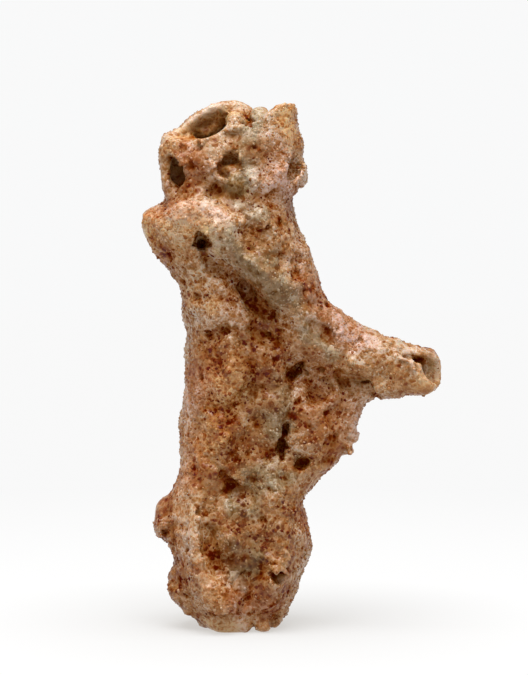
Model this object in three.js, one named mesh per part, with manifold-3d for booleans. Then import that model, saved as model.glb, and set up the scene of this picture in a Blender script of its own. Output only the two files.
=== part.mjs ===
// A small branching fulgurite: a hollow tube of fused desert sand, standing on its lower broken end.
// Millimetres, +Z up, X across the front, Y from front to back. The origin is on the flat foot, under
// the tube's axis. It formed as one piece, and is parted only at its main fork, FORK.
import * as THREE from "three";
import { LoftGeometry } from "three/addons/geometries/LoftGeometry.js";
import { ImprovedNoise } from "three/addons/math/ImprovedNoise.js";
import { mergeVertices } from "three/addons/utils/BufferGeometryUtils.js";
import Module from "manifold-3d";

const wasm = await Module();
wasm.setup();

// Driving dimensions.
const FORK = { at: [8.83, 0, 17.5], towards: [0.945, 0, 0.326], size: 18 }; // face where the branch leaves the tube
const RIM_START = 35.5; // above this height the skin is drawn out to the broken rim
const RIM_LEVEL = 38; // height of the last station, which the rim's own heights replace
const DISH_FLOOR = 37.6; // height of the dished top's middle
const DISH_RINGS = [0.72, 0.4]; // shares of the rim's size at which the dish has rings
const DISH_BOSS = { share: 0.2, height: 0.5 };
const FOOT_ROUNDING = 1.2; // height over which the lumps fade in above the flat foot
const ROUGHNESS = 0.85; // how far lumps stand out of the even form
const LUMP_SIZE = 2.6; // spacing of those lumps
const EDGE_SHARE = 0.25; // share of the roughness that moves the left and right edges
const SQUARENESS = 0.86; // under 1, a section is fuller than an ellipse

// Mesh density.
const TUBE_SIDES = 42;
const TUBE_RINGS = 56;
const BRANCH_SIDES = 24;
const BORE_SIDES = 10;

// Main tube, without what grows out of its sides: height, left edge, right edge, front and back.
const TUBE_STATIONS = [
  [0, -3.8, 2.2, -3.2, 2.7],
  [0.7, -4.6, 2.6, -3.7, 3.2],
  [1.3, -5.4, 3.0, -4.0, 3.5],
  [2.5, -6.3, 3.45, -4.4, 3.7],
  [3.7, -6.55, 3.9, -4.6, 3.7],
  [4.9, -6.35, 4.45, -4.6, 3.7],
  [6.1, -6.2, 4.75, -4.5, 3.8],
  [7.4, -6.0, 4.7, -4.4, 3.9],
  [8.8, -5.8, 4.45, -4.2, 3.9],
  [10.3, -5.6, 4.4, -4.0, 4.1],
  [12, -5.4, 4.3, -3.8, 4.2],
  [14, -5.35, 4.4, -3.7, 4.4],
  [16.2, -5.3, 4.5, -3.6, 4.5],
  [19, -5.0, 4.4, -3.5, 4.5],
  [22.4, -4.95, 4.3, -3.7, 4.1],
  [25, -5.2, 4.4, -3.9, 3.7],
  [27, -5.4, 4.6, -4.1, 3.4],
  [29, -5.7, 4.55, -4.4, 3.3],
  [31, -6.1, 3.95, -4.5, 3.2],
  [32.3, -6.5, 3.6, -4.1, 3.2],
  [33.2, -6.75, 3.8, -3.8, 3.3],
  [34.4, -6.65, 4.4, -3.7, 3.5],
  [35.6, -6.9, 4.3, -3.7, 3.7],
  [36.8, -6.85, 3.9, -3.6, 3.8],
  [RIM_LEVEL, -6.5, 3.45, -3.4, 3.7],
];

// What grows out of the tube's sides, blended into it: the way it points in degrees round the tube
// (0 right, 90 back, 180 left, 270 front), how narrow it is, and height, reach points up its crest.
const LOBES = [
  {
    // upper knob
    turn: 186,
    narrow: 3.5,
    crest: [
      [26.4, 0], [27.2, 0.3], [28.1, 1.25], [29, 2.0], [30, 2.2], [31, 2.1], [31.8, 1.7], [32.3, 0.6], [33, 0],
    ],
  },
  {
    // lower knob
    turn: 178,
    narrow: 4,
    crest: [
      [5.2, 0], [6.1, 0.35], [6.8, 0.9], [7.5, 1.45], [8.3, 1.5], [9.1, 1.1], [10, 0.6], [11, 0.25], [12, 0],
    ],
  },
  {
    // root of the side branch
    turn: 0,
    narrow: 1.9,
    crest: [
      [15.5, 0], [16.5, 1.8], [17.4, 3.4], [19, 4.0], [20.8, 3.9], [22.4, 3.4], [23.6, 2.7], [24.8, 1.75],
      [26, 0.85], [27.2, 0.35], [28.2, 0],
    ],
  },
  {
    // ledge under the branch
    turn: -4,
    narrow: 5,
    crest: [
      [10.6, 0], [11.3, 0.4], [12, 1.3], [12.8, 2.9], [13.6, 3.8], [14.8, 3.9], [15.6, 4.0], [16.5, 2.4],
      [17.4, 1.2], [19, 0],
    ],
  },
  {
    // knob at the back
    turn: 62,
    narrow: 6,
    crest: [[29, 0], [30.5, 0.4], [32.2, 1.2], [33, 1.0], [34.5, 0]],
  },
  {
    // spur at the back
    turn: 122,
    narrow: 5,
    crest: [[13, 0], [15.5, 0.5], [17.4, 1.2], [18.6, 1.1], [20.5, 0]],
  },
];

// Height of the broken rim, by angle round the tube in degrees: 0 right, 90 back, 180 left, 270 front.
const RIM = [
  [0, 39.7],
  [25, 38.8],
  [50, 38.8],
  [75, 39.4],
  [100, 39.9],
  [120, 38.6],
  [140, 38.0],
  [165, 37.8],
  [185, 37.6],
  [210, 37.2],
  [235, 37.1],
  [255, 37.8],
  [270, 38.4],
  [290, 38.8],
  [304, 39.3],
  [315, 40.1],
  [338, 40.2],
  [350, 40.0],
];
const RIM_ROUND = [...RIM, [RIM[0][0] + 360, RIM[0][1]]];

// Low ridges and valleys on the front (side -1) and the back (side 1): a path of x, z points, how far
// it stands out or sinks in, and its half width.
const RELIEF = [
  { side: -1, rise: 1.08, width: 1.4, path: [[-7, 31], [-2.5, 30.6], [0.5, 27.9], [3.5, 25.2], [6, 22.8]] },
  { side: -1, rise: 0.61, width: 0.7, path: [[-7.4, 32], [-5, 32.1], [-3.2, 32.6]] },
  { side: -1, rise: -1.08, width: 0.8, path: [[-3.4, 28.4], [-1.2, 27], [0, 25.4], [1.8, 22.2], [4.6, 19.2]] },
  { side: -1, rise: -0.81, width: 0.9, path: [[4.6, 19.2], [6.2, 18.4], [7.8, 17.4]] },
  { side: -1, rise: 0.81, width: 1.0, path: [[-1.4, 20], [-2.6, 14.4], [-4.2, 9], [-3.7, 4.4], [-2.5, 1.8]] },
  { side: -1, rise: -0.61, width: 1.3, path: [[0.4, 18], [0, 12], [-0.2, 6]] },
  { side: -1, rise: -0.68, width: 0.55, path: [[-2.9, 7.6], [-2.6, 5.2]] },
  { side: -1, rise: -0.68, width: 0.7, path: [[-5.6, 6.4], [-5.6, 2.6]] },
  { side: -1, rise: 0.68, width: 0.9, path: [[2.6, 9.5], [2.7, 5.5], [1.6, 2.2]] },
  { side: -1, rise: 0.61, width: 1.0, path: [[-4.6, 24], [-4.3, 18]] },
  { side: -1, rise: 0.6, width: 0.9, path: [[5.2, 15.9], [6.4, 13.8]] },
  { side: -1, rise: -0.9, width: 1.1, path: [[3.9, 19.4], [3.2, 16.5], [2.7, 13.2]] },
  { side: -1, rise: -0.54, width: 0.9, path: [[-3.4, 12.5], [-2.2, 11]] },
  { side: 1, rise: 1.35, width: 1.2, path: [[1.5, 37], [1.8, 29], [-0.4, 22], [0.8, 12], [-0.6, 3]] },
  { side: 1, rise: 1.22, width: 1.0, path: [[2.4, 8.8], [3, 7.4]] },
  { side: 1, rise: -0.94, width: 1.0, path: [[-2.2, 33], [-3, 25], [-3.4, 21]] },
  { side: 1, rise: 0.94, width: 1.0, path: [[-4.2, 16], [-4.6, 11], [-3.6, 5]] },
  { side: 1, rise: -0.81, width: 0.9, path: [[3.4, 24], [2.8, 17], [3, 11]] },
];

// Side branch: x, upper edge, lower edge, front and back of the section there.
const BRANCH_STATIONS = [
  [2.2, 23.6, 18.4, -1.3, 1.5],
  [4.0, 24.2, 18.2, -1.7, 1.8],
  [5.4, 24.6, 18.0, -2.1, 2.1],
  [6.6, 24.3, 17.7, -2.5, 2.4],
  [7.8, 23.6, 17.4, -2.6, 2.5],
  [9.0, 23.0, 17.4, -2.5, 2.4],
  [10.3, 22.6, 17.6, -2.3, 2.25],
  [11.6, 22.1, 17.6, -2.15, 2.1],
  [12.8, 21.4, 17.65, -1.95, 1.95],
  [13.8, 20.9, 18.0, -1.7, 1.75],
  [14.6, 20.4, 18.7, -1.1, 1.2],
];

// The slanted break at the branch's tip, whose front wall is shorter than its back wall.
const TIP_BREAK = { at: [13.7, -0.7, 19.4], towards: [0.8, -0.47, 0.37], size: 8 };

// The bore and its ways out: paths of x, y, z, radius points.
const MAIN_BORE = [
  [-3.1, 0.3, 40.5, 2.0], [-3.0, 0.2, 38, 1.8], [-2.7, 0.2, 35.6, 1.6], [-1.6, -0.3, 31, 1.4],
  [-0.2, -0.1, 25, 1.5], [0, 0.4, 20, 1.6], [-0.3, 0.3, 14, 1.4], [-0.9, 0.2, 8, 1.4], [-1.8, 0.2, 3, 1.15],
  [-1.9, 0.2, -1.5, 1.0],
];
const BRANCH_BORE = [
  [0.6, 0.2, 21, 1.1], [4, 0, 20.8, 1.1], [8, -0.1, 20.2, 0.95], [12, -0.1, 19.7, 0.95], [16, -0.1, 19.3, 1.1],
];

// Openings and pits: centre, half sizes along x, y, z, and a turn in degrees that lifts their right end.
const HOLLOWS = [
  { at: [-3.2, 0.5, 39.4], half: [2.3, 2.6, 2.5], turn: 10, fine: true }, // bowl at the tube's mouth
  { at: [-0.1, -1.6, 38.9], half: [0.55, 1.6, 0.9], turn: 15 }, // folded hollow in the rim
  { at: [1.0, 1.4, 39.9], half: [1.4, 2.4, 0.95], turn: -6 }, // saddle before the peak
  { at: [-5.85, -2.1, 35.1], half: [0.7, 1.9, 1.2], turn: 8, fine: true }, // side mouth, upper left
  { at: [-4.9, -0.9, 35.2], half: [1.2, 0.8, 0.9], turn: 0 }, // its way into the bore
  { at: [-1.6, -3.4, 35.3], half: [0.95, 1.9, 0.78], turn: 28, fine: true }, // front mouth
  { at: [-2.5, -3.8, 33.6], half: [0.8, 0.8, 0.45], turn: 35 }, // shade over the ledge
  { at: [-0.85, -3.9, 34.0], half: [0.85, 0.8, 0.85], turn: 0 }, // glassy bubble
  { at: [3.5, -2.5, 35.3], half: [0.5, 1.5, 1.5], turn: -35, fine: true }, // slit under the right lip
  { at: [-3.55, -4.2, 29.55], half: [0.6, 3.0, 0.6], turn: 0 }, // mouth under the knob
  { at: [-0.35, -3.4, 25.9], half: [0.5, 1.2, 0.7], turn: 30 },
  { at: [3.5, -1.9, 19.8], half: [0.42, 1.5, 0.9], turn: -48 }, // slanting slot
  { at: [5.4, -1.9, 18.4], half: [0.95, 1.0, 0.9], turn: 0 }, // shade under the branch
  { at: [2.7, -2.9, 15.5], half: [0.5, 1.6, 0.55], turn: 0 },
  { at: [2.4, -2.8, 14.2], half: [0.5, 1.8, 0.95], turn: -10 }, // tall slot
  { at: [3.95, -2.7, 12.9], half: [0.65, 1.3, 0.58], turn: 20 }, // round pit
  { at: [1.5, -3.1, 13.3], half: [0.45, 0.8, 0.45], turn: 0 },
  { at: [-2.2, -3.9, 11.9], half: [0.5, 0.8, 0.4], turn: 0 },
  { at: [-1.35, -3.5, 11.1], half: [0.55, 0.9, 0.45], turn: -30 },
  { at: [2.35, -4.5, 4.3], half: [0.6, 0.9, 0.5], turn: 0 },
  { at: [-1.75, -4.1, 0.3], half: [1.55, 0.95, 0.85], turn: -6 }, // arch over the foot's glass lip
  { at: [0.8, 4.7, 26], half: [0.7, 1.4, 0.9], turn: 25 }, // mouths and pits of the back
  { at: [-3.2, 2.6, 30.5], half: [0.6, 1.8, 0.8], turn: -20 },
  { at: [2.6, 3.8, 17.5], half: [0.5, 1.2, 0.8], turn: 10 },
  { at: [-1.6, 4.0, 9.6], half: [0.6, 1.1, 0.5], turn: 30 },
  { at: [6.6, 2.6, 17.0], half: [0.9, 0.9, 0.6], turn: 0 },
];

const perlin = new ImprovedNoise();

// Lumps of two sizes, from -1 to 1, at a point in space.
function lumps(x, y, z) {
  const k = 1 / LUMP_SIZE;
  const coarse = perlin.noise(x * k + 11, y * k + 5, z * k + 3);
  const fine = perlin.noise(x * 2.1 * k, y * 2.1 * k, z * 2.1 * k);
  return 0.7 * coarse + 0.6 * fine;
}

// The rows of numbers in a table, at share t of the way down it, on a smooth curve.
function along(rows, t) {
  const place = Math.min(Math.max(t, 0), 1) * (rows.length - 1);
  const i = Math.min(Math.floor(place), rows.length - 2);
  const row = (n) => rows[Math.min(Math.max(n, 0), rows.length - 1)];
  const f = place - i;
  return rows[i].map((_, c) => {
    const [a, b, d, e] = [row(i - 1)[c], row(i)[c], row(i + 1)[c], row(i + 2)[c]];
    return b + 0.5 * f * (d - a + f * (2 * a - 5 * b + 4 * d - e + f * (3 * (b - d) + e - a)));
  });
}

// The value at a key in a list of key, value points, on straight lines between them.
function between(points, key) {
  const next = points.findIndex(([k]) => k > key);
  if (next < 0) return points.at(-1)[1];
  if (next === 0) return points[0][1];
  const [[k0, v0], [k1, v1]] = [points[next - 1], points[next]];
  return THREE.MathUtils.lerp(v0, v1, (key - k0) / (k1 - k0));
}

// Distance of x, z from a path of x, z points.
function distanceToPath(x, z, path) {
  const point = new THREE.Vector3(x, 0, z);
  const nearest = new THREE.Vector3();
  let best = Infinity;
  for (let i = 1; i < path.length; i++) {
    const line = new THREE.Line3(
      new THREE.Vector3(path[i - 1][0], 0, path[i - 1][1]),
      new THREE.Vector3(path[i][0], 0, path[i][1]),
    );
    best = Math.min(best, line.closestPointToPoint(point, true, nearest).distanceTo(point));
  }
  return best;
}

// How far the relief of one face moves the skin at x, z.
function reliefAt(x, z, side) {
  return RELIEF.filter((r) => r.side === side).reduce(
    (sum, r) => sum + r.rise * Math.exp(-((distanceToPath(x, z, r.path) / r.width) ** 2)),
    0,
  );
}

// Cosine and sine of an angle, drawn out so that a section is fuller than an ellipse.
function fullCircle(angle) {
  const full = (v) => Math.sign(v) * Math.abs(v) ** SQUARENESS;
  return [full(Math.cos(angle)), full(Math.sin(angle))];
}

// How far the lobes stand out of the tube at a height and an angle, along x and y.
function lobesAt(z, angle) {
  const out = new THREE.Vector2();
  for (const { turn, narrow, crest } of LOBES) {
    const towards = (turn * Math.PI) / 180;
    const share = Math.max(Math.cos(angle - towards), 0) ** narrow;
    out.x += Math.cos(towards) * share * between(crest, z);
    out.y += Math.sin(towards) * share * between(crest, z);
  }
  return out;
}

// A solid from any closed three.js geometry.
function solid(geometry) {
  const bare = geometry.index ? geometry.toNonIndexed() : geometry.clone();
  bare.deleteAttribute("normal");
  bare.deleteAttribute("uv");
  const merged = mergeVertices(bare, 1e-4);
  const mesh = new wasm.Mesh({
    numProp: 3,
    vertProperties: merged.attributes.position.array,
    triVerts: new Uint32Array(merged.index.array),
  });
  return new wasm.Manifold(mesh);
}

// A closed ring of the tube's skin at share t of its height, drawn in towards its middle by inward.
function tubeRing(t, inward) {
  const [z, left, right, front, back] = along(TUBE_STATIONS, t);
  const [midX, midY] = [(left + right) / 2, (front + back) / 2];
  const grow = Math.min(1, z / FOOT_ROUNDING);
  const rise = THREE.MathUtils.smoothstep(z, RIM_START, RIM_LEVEL);
  return Array.from({ length: TUBE_SIDES }, (_, i) => {
    const angle = (i / TUBE_SIDES) * 2 * Math.PI;
    const [c, s] = fullCircle(angle);
    const lobes = lobesAt(z, angle);
    let x = midX + (c * (right - left)) / 2 + lobes.x;
    let y = midY + (s * (back - front)) / 2 + lobes.y;
    const facing = Math.abs(Math.sin(angle)) ** 1.5;
    const rough = ROUGHNESS * lumps(x, y, z) * (0.4 + 0.6 * facing);
    const out = rough + facing * reliefAt(x, z, s < 0 ? -1 : 1);
    x += out * c * grow * EDGE_SHARE;
    y += out * s * grow;
    const height = z + (between(RIM_ROUND, (angle * 180) / Math.PI) - RIM_LEVEL) * rise;
    return new THREE.Vector3(
      THREE.MathUtils.lerp(midX, x, inward),
      THREE.MathUtils.lerp(midY, y, inward),
      THREE.MathUtils.lerp(DISH_FLOOR, height, inward),
    );
  });
}

// The main tube's outer skin, closed by a flat foot and a dished top inside the rim, with a low boss in
// the middle that the bore cuts away.
function mainTube() {
  const sections = [];
  for (let i = 0; i <= TUBE_RINGS; i++) sections.push(tubeRing(i / TUBE_RINGS, 1));
  sections.push(...DISH_RINGS.map((inward) => tubeRing(1, inward)));
  sections.push(tubeRing(1, DISH_BOSS.share).map((p) => p.setZ(DISH_FLOOR + DISH_BOSS.height)));
  return solid(new LoftGeometry(sections, { capStart: true, capEnd: true }));
}

// A loft along X from stations of x, upper edge, lower edge, front and back.
function wing(stations, rings) {
  const sections = Array.from({ length: rings + 1 }, (_, i) => {
    const [x, top, bottom, front, back] = along(stations, i / rings);
    return Array.from({ length: BRANCH_SIDES }, (_, k) => {
      const [c, s] = fullCircle((k / BRANCH_SIDES) * 2 * Math.PI);
      const y = (front + back) / 2 + (c * (back - front)) / 2;
      const z = (top + bottom) / 2 + (s * (top - bottom)) / 2;
      const out = ROUGHNESS * lumps(x, y, z);
      return new THREE.Vector3(x, y + out * c, z + 0.6 * out * s);
    });
  });
  return solid(new LoftGeometry(sections, { capStart: true, capEnd: true }));
}

// A round tube along a path of x, y, z, radius points.
function limb(path, rings, rough) {
  const at = (t) => along(path, t);
  const sections = Array.from({ length: rings + 1 }, (_, i) => {
    const t = i / rings;
    const [x, y, z, radius] = at(t);
    const [ax, ay, az] = at(Math.max(t - 0.02, 0));
    const [bx, by, bz] = at(Math.min(t + 0.02, 1));
    const ahead = new THREE.Vector3(bx - ax, by - ay, bz - az).normalize();
    const turn = new THREE.Quaternion().setFromUnitVectors(new THREE.Vector3(0, 0, 1), ahead);
    return Array.from({ length: BORE_SIDES }, (_, k) => {
      const angle = (k / BORE_SIDES) * 2 * Math.PI;
      const spoke = new THREE.Vector3(Math.cos(angle), Math.sin(angle), 0).applyQuaternion(turn);
      const point = new THREE.Vector3(x, y, z).addScaledVector(spoke, radius);
      return point.addScaledVector(spoke, rough * ROUGHNESS * lumps(point.x, point.y, point.z));
    });
  });
  return solid(new LoftGeometry(sections, { capStart: true, capEnd: true }));
}

// A hollow: a low-poly ball, stretched, turned about Y and roughened.
function hollow({ at, half, turn, fine = false }) {
  const geometry = new THREE.IcosahedronGeometry(1, fine ? 2 : 1);
  geometry.scale(...half);
  geometry.rotateY((-turn * Math.PI) / 180);
  geometry.translate(...at);
  const position = geometry.attributes.position;
  const centre = new THREE.Vector3(...at);
  const point = new THREE.Vector3();
  for (let i = 0; i < position.count; i++) {
    point.fromBufferAttribute(position, i).sub(centre);
    const swell = 1 + 0.35 * lumps(4 * (at[0] + point.x), 4 * (at[1] + point.y), 4 * (at[2] + point.z));
    point.multiplyScalar(swell).add(centre);
    position.setXYZ(i, point.x, point.y, point.z);
  }
  return solid(geometry);
}

// A block on the far side of a cut: one face is centred at a point, and the block lies towards a direction.
function beyond({ at, towards, size }) {
  const block = new THREE.BoxGeometry(size, size, size);
  block.translate(0, 0, size / 2);
  const turn = new THREE.Quaternion();
  turn.setFromUnitVectors(new THREE.Vector3(0, 0, 1), new THREE.Vector3(...towards).normalize());
  block.applyQuaternion(turn);
  block.translate(...at);
  return solid(block);
}

// The whole fulgurite: tube and branch joined, then the tip, bores and hollows cut.
function fulgurite() {
  const branch = wing(BRANCH_STATIONS, 16).subtract(beyond(TIP_BREAK));
  let whole = mainTube().add(branch);
  whole = whole.subtract(limb(MAIN_BORE, 26, 0.4)).subtract(limb(BRANCH_BORE, 12, 0.2));
  for (const h of HOLLOWS) whole = whole.subtract(hollow(h));
  return whole;
}

// A named mesh from a solid.
function part(name, made, color) {
  const { numProp, vertProperties, triVerts } = made.getMesh();
  const positions = new Float32Array((vertProperties.length / numProp) * 3);
  for (let i = 0; i * 3 < positions.length; i++)
    positions.set(vertProperties.subarray(i * numProp, i * numProp + 3), i * 3);
  const geometry = new THREE.BufferGeometry();
  geometry.setAttribute("position", new THREE.BufferAttribute(positions, 3));
  geometry.setIndex(new THREE.BufferAttribute(triVerts, 1));
  geometry.computeVertexNormals();
  const material = new THREE.MeshStandardMaterial({ color, roughness: 0.6, metalness: 0 });
  const mesh = new THREE.Mesh(geometry, material);
  mesh.name = name;
  return mesh;
}

const whole = fulgurite();
const branchSide = whole.intersect(beyond(FORK));
const tubeSide = whole.subtract(beyond(FORK));
const group = new THREE.Group();
group.name = "fulgurite";
group.add(part("main_tube", tubeSide, 0xb88a66));
group.add(part("side_branch", branchSide, 0xc2946c));
export default group;
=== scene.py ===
import math
import bpy
import numpy as np
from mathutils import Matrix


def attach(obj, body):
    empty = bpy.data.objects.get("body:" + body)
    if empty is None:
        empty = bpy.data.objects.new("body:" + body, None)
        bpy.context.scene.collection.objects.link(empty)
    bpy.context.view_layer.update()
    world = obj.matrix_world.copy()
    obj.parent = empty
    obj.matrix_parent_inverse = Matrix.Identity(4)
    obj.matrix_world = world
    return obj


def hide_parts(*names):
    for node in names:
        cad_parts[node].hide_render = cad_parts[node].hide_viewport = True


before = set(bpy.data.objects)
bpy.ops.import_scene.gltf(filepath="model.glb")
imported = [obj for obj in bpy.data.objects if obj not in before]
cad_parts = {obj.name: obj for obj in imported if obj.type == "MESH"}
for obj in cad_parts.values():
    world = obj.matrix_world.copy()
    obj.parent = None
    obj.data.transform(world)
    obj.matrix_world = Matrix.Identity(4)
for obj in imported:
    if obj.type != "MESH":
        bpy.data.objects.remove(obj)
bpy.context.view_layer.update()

import openvdb
from mathutils import Vector

# ---------------------------------------------------------------------------------------------
# The fused wall: sand that lightning melted into one branching glass tube, smooth where the glass
# flowed and gritty elsewhere, with burst bubbles all over. It is made as a distance field in
# millimetres, below nought inside the glass, and skinned once.
# ---------------------------------------------------------------------------------------------
# The field's step in millimetres, how many steps from the skin it is known, how many empty ones
# lie outside that, and the distance where a form is out of reach.
CELL = 0.155
BAND = 6
MARGIN = 4
FAR_AWAY = 9.0
rng = np.random.default_rng(1193)


def gathered(*names):
    """The solids' triangles in millimetres, with corners that meet merged. A triangle whose three
    corners are all shared by two solids lies on the cut between them, and is dropped."""
    points = []
    owners = []
    for number, name in enumerate(names):
        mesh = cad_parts[name].data
        mesh.calc_loop_triangles()
        corners = np.empty(len(mesh.vertices) * 3, np.float32)
        mesh.vertices.foreach_get("co", corners)
        order = np.empty(len(mesh.loop_triangles) * 3, np.int32)
        mesh.loop_triangles.foreach_get("vertices", order)
        points.append(corners.reshape(-1, 3)[order] * 1000.0)
        owners.append(np.full(len(order), number))
    places, index = np.unique(np.round(np.concatenate(points), 4), axis=0, return_inverse=True)
    index = index.reshape(-1)
    owners = np.concatenate(owners)
    shared = np.bincount(index, owners == 0) * np.bincount(index, owners == 1) > 0
    triangles = index.reshape(-1, 3)
    return places.astype(np.float32), triangles[~shared[triangles].all(axis=1)].astype(np.uint32)


corners, triangles = gathered("main_tube", "side_branch")
LOW = np.floor(corners.min(axis=0) / CELL).astype(int) - BAND - MARGIN
HIGH = np.ceil(corners.max(axis=0) / CELL).astype(int) + BAND + MARGIN
SHAPE = tuple(int(n) for n in HIGH - LOW + 1)
AXES = [(LOW[a] + np.arange(SHAPE[a], dtype=np.float32)) * np.float32(CELL) for a in range(3)]
X, Y, Z = np.meshgrid(*AXES, indexing="ij", sparse=True)

spacing = openvdb.createLinearTransform(voxelSize=CELL)
solid = openvdb.FloatGrid.createLevelSetFromPolygons(
    corners, triangles=triangles, transform=spacing, halfWidth=float(BAND))
wall = np.full(SHAPE, solid.background, np.float32)
solid.copyToArray(wall, ijk=tuple(int(n) for n in LOW))
del solid


def softened(field, rounds):
    """Each round gives a cell a half of itself and a quarter of each neighbour, along x, y and z."""
    for _ in range(rounds):
        for axis in range(3):
            turned = np.moveaxis(field, axis, 0)
            spread = turned.copy()
            spread[1:-1] = 0.5 * turned[1:-1] + 0.25 * (turned[:-2] + turned[2:])
            field = np.moveaxis(spread, 0, axis)
    return np.ascontiguousarray(field)


def averaged(field, reach):
    """The mean over a cube reaching so many cells each way, by running sums along each axis."""
    for axis in range(3):
        turned = np.moveaxis(field, axis, 0)
        wide = np.pad(turned, [(reach + 1, reach), (0, 0), (0, 0)], mode="edge")
        sums = np.cumsum(wide, axis=0, dtype=np.float32)
        field = np.moveaxis((sums[2 * reach + 1:] - sums[:-2 * reach - 1]) / (2 * reach + 1), 0, axis)
    return np.ascontiguousarray(field)


def glass_share(reach):
    """The share of glass in a cube reaching so many cells each way."""
    return averaged((wall < 0).astype(np.float32), reach)


def swell(size, seed):
    """Random swell with crests about size mm apart: random numbers on a coarse lattice, blended
    along x, y and z by the four weights of a cubic B-spline, and scaled to a spread of one."""
    sums = []
    for axis in AXES:
        along = (axis - axis[0]) / size
        whole = np.floor(along).astype(int)
        f = along - whole
        weights = ((1 - f) ** 3, 3 * f ** 3 - 6 * f ** 2 + 4, -3 * f ** 3 + 3 * f ** 2 + 3 * f + 1, f ** 3)
        blend = np.zeros((len(axis), whole[-1] + 4), np.float32)
        for step, weight in enumerate(weights):
            blend[np.arange(len(axis)), whole + step] = weight / 6
        sums.append(blend)
    lattice = np.random.default_rng(seed).standard_normal([b.shape[1] for b in sums]).astype(np.float32)
    field = np.tensordot(sums[0], lattice, (1, 0))
    field = np.tensordot(field, sums[1], (1, 1))
    field = np.tensordot(field, sums[2], (1, 1))
    return (field / field.std()).astype(np.float32)


def read(field, places):
    """The field's value at places in millimetres, blended between the eight cells round each."""
    where = places / CELL - LOW
    base = np.clip(np.floor(where).astype(int), 0, np.array(SHAPE) - 2)
    part = np.clip(where - base, 0, 1)
    total = np.zeros(len(places), np.float32)
    for corner in np.ndindex(2, 2, 2):
        weight = np.prod(np.where(corner, part, 1 - part), axis=1)
        total += weight * field[tuple((base + corner).T)]
    return total


def balls(centres, radii):
    """The least distance from each cell to a set of balls, far away where no ball is near: the
    balls' cells are visited one step of the surrounding cube at a time, for all balls at once."""
    field = np.full(SHAPE, FAR_AWAY, np.float32)
    flat = field.reshape(-1)
    base = np.rint(centres / CELL).astype(int)
    reach = int(math.ceil(radii.max() / CELL)) + 2
    for step in np.ndindex(*(2 * reach + 1,) * 3):
        cell = base + np.array(step) - reach
        away = np.linalg.norm(cell * CELL - centres, axis=1) - radii
        inside = ((cell >= LOW) & (cell <= HIGH)).all(axis=1)
        at = np.ravel_multi_index(tuple((cell[inside] - LOW).T), SHAPE)
        np.minimum.at(flat, at, away[inside].astype(np.float32))
    return field


def egg(centre, half, turn=0.0):
    """The rough distance to an ellipsoid with half axes along x, y and z, turned in the front
    view by degrees: its radius share less one, times its least half axis."""
    c = math.cos(math.radians(turn))
    s = math.sin(math.radians(turn))
    along = (X - centre[0]) * c + (Z - centre[2]) * s
    up = (Z - centre[2]) * c - (X - centre[0]) * s
    share = np.sqrt((along / half[0]) ** 2 + ((Y - centre[1]) / half[1]) ** 2 + (up / half[2]) ** 2)
    return ((share - 1) * min(half)).astype(np.float32)


def close_to(distance, reach):
    """One inside a form, falling evenly to nothing at a distance of reach outside it."""
    return np.clip(1 - distance / reach, 0, 1)


def joined(a, b, blend):
    """The smaller of two distances, with the crease between them filled over a width of blend."""
    fill = np.maximum(blend - np.abs(a - b), 0)
    return np.minimum(a, b) - fill * fill / (4 * blend)


# How the edges of the bands below wander.
ragged = 0.26 * swell(0.9, 15) + 0.16 * swell(0.45, 16)


def band(path):
    """A ragged front-view band along points (x, z, half width): one at its middle line, falling
    off to nothing at its half width, which wanders, and fading out past the tube's own axis."""
    path = np.array(path, np.float32)
    best = np.full((SHAPE[0], 1, SHAPE[2]), -2, np.float32)
    for a, b in zip(path[:-1], path[1:]):
        span = b[:2] - a[:2]
        t = ((X - a[0]) * span[0] + (Z - a[1]) * span[1]) / (span @ span)
        t = np.clip(t, 0, 1)
        away = np.hypot(X - a[0] - span[0] * t, Z - a[1] - span[1] * t)
        best = np.maximum(best, 1 - away / (a[2] + (b[2] - a[2]) * t))
    best = np.clip((best + 0.8 * ragged) * 1.3, 0, 1) * (best > -0.5)
    return (best * best * (3 - 2 * best)) * np.clip(0.4 - Y / 2.5, 0, 1)


def bands(paths):
    """The greatest of the bands along some paths."""
    return np.maximum.reduce([band(path) for path in paths])


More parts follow.
